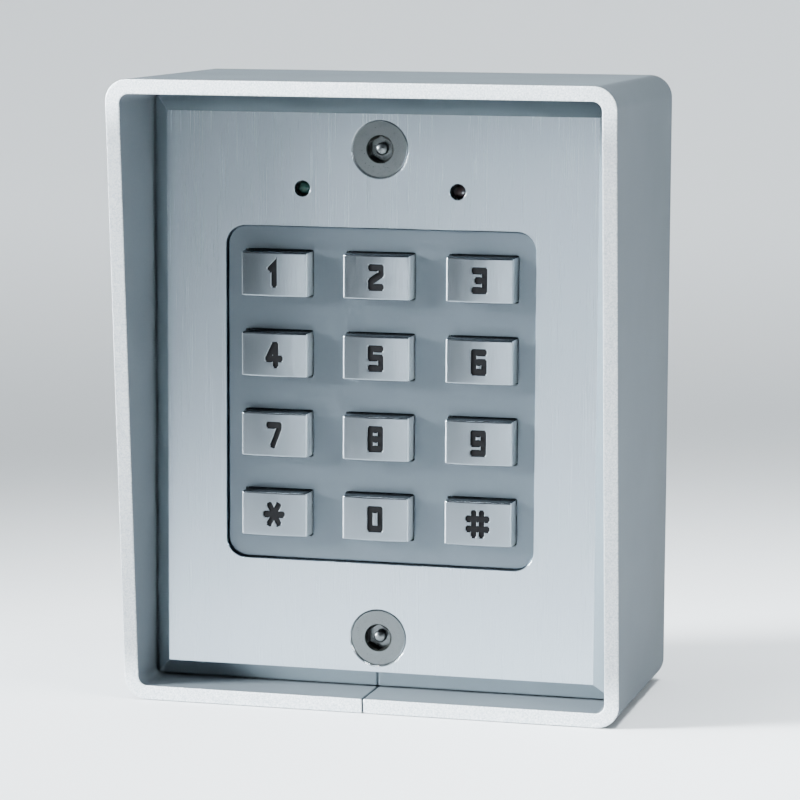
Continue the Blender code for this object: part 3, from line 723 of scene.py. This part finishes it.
def make_key(node):
    """One key: an arched block on its lip, with its sign engraved and filled with black."""
    x, z = centre(node)
    rear, front = reach(node)
    lip_w, lip_h = size(node)
    block = slab(lip_w - 2 * KEY_LIP, lip_h - 2 * KEY_LIP, rear, front, at=(x, z),
                 corner=KEY_EDGE, steps=4, edge=KEY_EDGE, edge_steps=4)
    crown(block, x, lip_w / 2 - KEY_LIP, front)
    key = place(node + "_fine", block)
    cut(key, slab(lip_w, lip_h, rear, rear + KEY_LIP_DEEP, at=(x, z)), "UNION")
    for stroke in SIGNS[node]:
        points = [Vector((x + (u - 0.5) * SIGN_W, z + (v - 0.5) * SIGN_H)) for u, v in stroke]
        cut(key, groove(points, front), solver="MANIFOLD")
    shade(key, 30)
    floor = front - ENGRAVED
    paint(key, MATERIALS["key"])
    # The keys' left and right sides get the lighter copy of their metal: painted light.
    paint(key, MATERIALS["key_side_lit"], lambda face: abs(face.normal.x) > 0.6)
    paint(key, MATERIALS["ink"], lambda face: abs(face.center.y + floor) < 0.01 * MM)
    belongs(key, node, node + "_body")


def make_mat_sheet():
    """The flat sheet of the silicone mat."""
    rear = reach("key_mat")[0]
    sheet = place("mat_sheet", slab(*size("key_mat"), rear, MAT_FRONT, at=(0, PAD_Z),
                                    corner=PAD_CORNER, steps=8))
    for x, z in corners(PIN_X, PIN_Z, PAD_Z):
        cut(sheet, rod(PIN_HOLE_R, rear - PAST, MAT_FRONT + PAST, x, z, steps=PIN_HOLE_SIDES))
    soften(sheet, 0.1 * MM)
    paint(sheet, MATERIALS["silicone"])
    belongs(sheet, "key_mat")


def make_mat_dome(node):
    """The mat's dome under one key."""
    x, z = centre(node)
    top = reach("key_mat")[1]
    front = MAT_FRONT
    dome = place("mat_dome" + node.removeprefix("key"),
                 lathe([(0, top), (MAT_TOP_R, top), (MAT_FOOT_R, front), (0, front)], x, z,
                       steps=SMALL_ROUND))
    soften(dome, 0.25 * MM, segments=3)
    paint(dome, MATERIALS["silicone"])
    belongs(dome, "key_mat")
    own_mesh(dome)


# ---------------------------------------------------------------- what stays as it is
def finish_inner_parts():
    """Materials for the CAD nodes that keep their own meshes."""
    by_slot = {"back_sheet": "sheet", "zinc_fasteners": "fastener", "rubber": "rubber",
               "silicone": "silicone", "circuit_board": "board", "black_plastic": "black",
               "blue_plastic": "blue", "green_plastic": "green", "capacitor_sleeve": "can",
               "ribbon": "ribbon"}
    for part in frame["record"]["subparts"]:
        look = by_slot.get(part["material_slot"])
        node = frame["nodes"][part["node"]]
        if look:
            node.data.materials.clear()
            node.data.materials.append(MATERIALS[look])


# ---------------------------------------------------------------- studio, in metres
FLOOR_REACH = 8.0            # how far the floor goes to each side and in front
SWEEP_START = 1.2            # it starts to curve up this far behind the wall side
SWEEP_R = 0.8
BACKDROP_TOP = 4.0


def make_floor():
    """A pale floor that sweeps up behind the object."""
    bm = bmesh.new()
    level = BAND_BOTTOM - 0.1 * MM
    turns = [math.radians(turn) for turn in range(6, 91, 6)]
    profile = [(-FLOOR_REACH, 0), (SWEEP_START, 0)]
    profile += [(SWEEP_START + SWEEP_R * math.sin(turn), SWEEP_R * (1 - math.cos(turn)))
                for turn in turns]
    profile.append((SWEEP_START + SWEEP_R, BACKDROP_TOP))
    rows = [[bm.verts.new((side * FLOOR_REACH, y, level + up)) for side in (-1, 1)]
            for y, up in profile]
    for near, far in zip(rows, rows[1:]):
        bm.faces.new((near[0], near[1], far[1], far[0]))
    floor = place("studio_floor", bm)
    floor.data.shade_smooth()
    look = Look("studio_white", (0.88, 0.89, 0.90), 0, 0.8)
    floor.data.materials.append(look.material)


def make_surround():
    """Cool light from all round: dim in front of the object, brighter behind it."""
    world = bpy.data.worlds.new("studio")
    bpy.context.scene.world = world
    world.use_nodes = True
    tree = world.node_tree
    background = tree.nodes["Background"]
    background.inputs["Color"].default_value = (0.84, 0.95, 1.0, 1)
    coords = tree.nodes.new("ShaderNodeTexCoord")
    axes = tree.nodes.new("ShaderNodeSeparateXYZ")
    fade = map_range(tree, -0.8, 0.4, 0.04, 0.45, "SMOOTHSTEP")
    tree.links.new(coords.outputs["Generated"], axes.inputs["Vector"])
    tree.links.new(axes.outputs["Y"], fade.inputs["Value"])
    tree.links.new(fade.outputs["Result"], background.inputs["Strength"])


COOL = (0.90, 0.96, 1.0)
FACE_MIDDLE = (0, -0.04, 0)
# Each light's name, place, aim, width and height, power in watts and beam in degrees. The first
# three light the keypad, mostly from the left. The others light the floor in front, which it
# reflects, and the backdrop.
LIGHTS = [
    ("side_light", (-0.90, -0.45, 0.25), FACE_MIDDLE, (0.3, 0.3), 3.7, 26),
    ("top_light", (-0.25, -0.20, 1.1), FACE_MIDDLE, (0.3, 0.3), 0.25, 30),
    ("fill_light", (0.90, -0.55, 0.30), FACE_MIDDLE, (0.3, 0.3), 0.15, 26),
    ("near_floor_light", (0.35, -0.22, 1.1), (0.29, -0.20, 0), (0.25, 0.25), 2.7, 40),
    ("mid_floor_light", (0.20, -0.65, 1.1), (0.16, -0.62, 0), (0.2, 0.2), 6.4, 36),
    ("far_floor_light", (0.15, -1.35, 1.3), (0.12, -1.30, 0), (0.3, 0.3), 14, 50),
    ("backdrop_light", (0, 0.7, 1.6), (0, 1.4, 0), (3.0, 0.8), 30, 120),
]


def make_light(name, location, aim, extent, power, beam):
    """A rectangular soft light aimed at a point."""
    data = bpy.data.lights.new(name, "AREA")
    data.shape = "RECTANGLE"
    data.size, data.size_y = extent
    data.energy = power
    data.color = COOL
    data.spread = math.radians(beam)
    lamp = bpy.data.objects.new(name, data)
    lamp.location = location
    lamp.rotation_euler = (Vector(aim) - Vector(location)).to_track_quat("-Z", "Y").to_euler()
    bpy.context.scene.collection.objects.link(lamp)


# The view that was solved from the photograph's straight edges.
CAMERA_PLACE = Vector((0.17234, -0.67786, 0.08832))
CAMERA_AIM = Vector((0.00428, -0.0395, -0.00062))
CAMERA_ROLL = 0.267          # degrees
CAMERA_LENS = 153.83         # millimetres, on a sensor 36 mm wide


def make_camera():
    """The camera, right of the object and a little above it."""
    data = bpy.data.cameras.new("camera")
    data.sensor_width = 36
    data.lens = CAMERA_LENS
    data.clip_start = 0.01
    camera = bpy.data.objects.new("camera", data)
    camera.location = CAMERA_PLACE
    look = (CAMERA_AIM - CAMERA_PLACE).to_track_quat("-Z", "Y").to_matrix()
    roll = Matrix.Rotation(math.radians(CAMERA_ROLL), 3, "Z")
    camera.rotation_euler = (look @ roll).to_euler()
    bpy.context.scene.collection.objects.link(camera)
    bpy.context.scene.camera = camera


# ---------------------------------------------------------------- assembly
make_camera()
make_surround()
for light in LIGHTS:
    make_light(*light)
make_floor()
make_band()
make_back_plate()
for screw_node in REAR_SCREWS:
    make_rear_screw(screw_node)
make_grommet()
make_face_plate()
make_face_screw("face_screw_top", SCREW_Z)
make_face_screw("face_screw_bottom", -SCREW_Z)
make_lamp("lamp_left", -LAMP_X, "lamp_green")
make_lamp("lamp_right", LAMP_X, "lamp_red")
make_pad()
for key_node in KEYS:
    make_key(key_node)
make_mat_sheet()
for key_node in KEYS:
    make_mat_dome(key_node)
finish_inner_parts()
